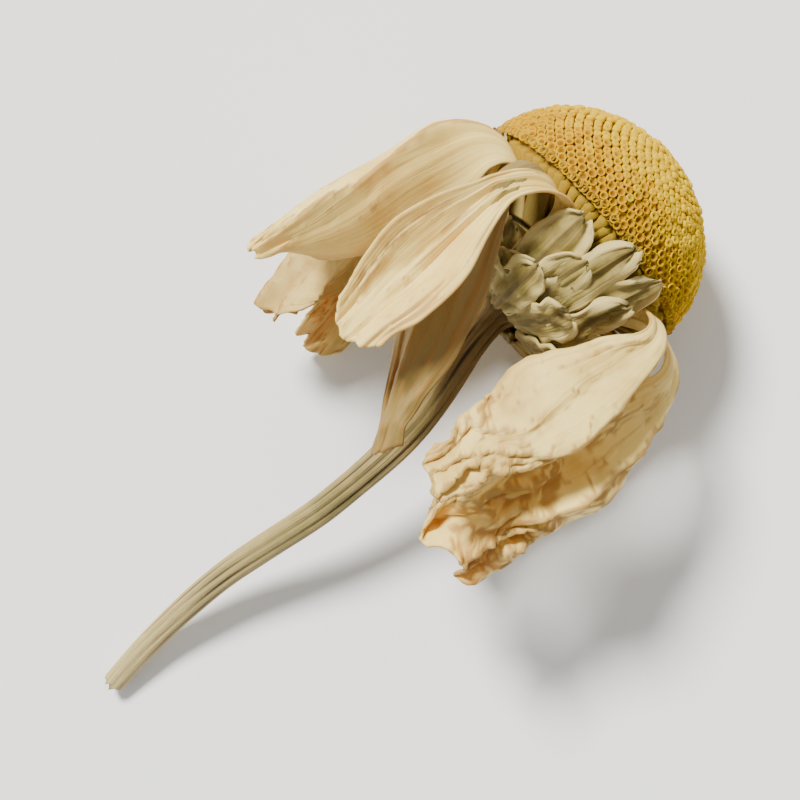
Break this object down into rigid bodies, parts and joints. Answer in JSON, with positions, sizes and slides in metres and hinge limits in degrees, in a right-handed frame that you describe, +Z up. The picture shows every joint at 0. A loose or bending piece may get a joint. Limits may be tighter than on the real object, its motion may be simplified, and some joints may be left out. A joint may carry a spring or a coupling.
{
  "type": "dried chamomile flower head",
  "caption": "Dried chamomile flower head lying on its side: a yellow dome of disc florets, cream petals bent back over a green cup of bracts, and a short cut stalk.",
  "frame": {"origin": "centre of the bounding box's base, on the surface that the flower lies on", "axes": "+X from the stalk's cut end to the dome of florets, +Z up, +Y to the left of the flower seen from the stalk"},
  "size_m": [0.0198, 0.0106, 0.0085],
  "materials": {
    "stalk": "matte, ridged, dried",
    "involucre": "matte, papery edges",
    "ray_petals": "matte, dried and veined",
    "disc_florets": "matte, mealy"
  },
  "bodies": {
    "root": {"stalk": "stalk", "involucre": "involucre", "ray_petals": "ray_petals", "disc_florets": "disc_florets"}
  },
  "joints": []
}
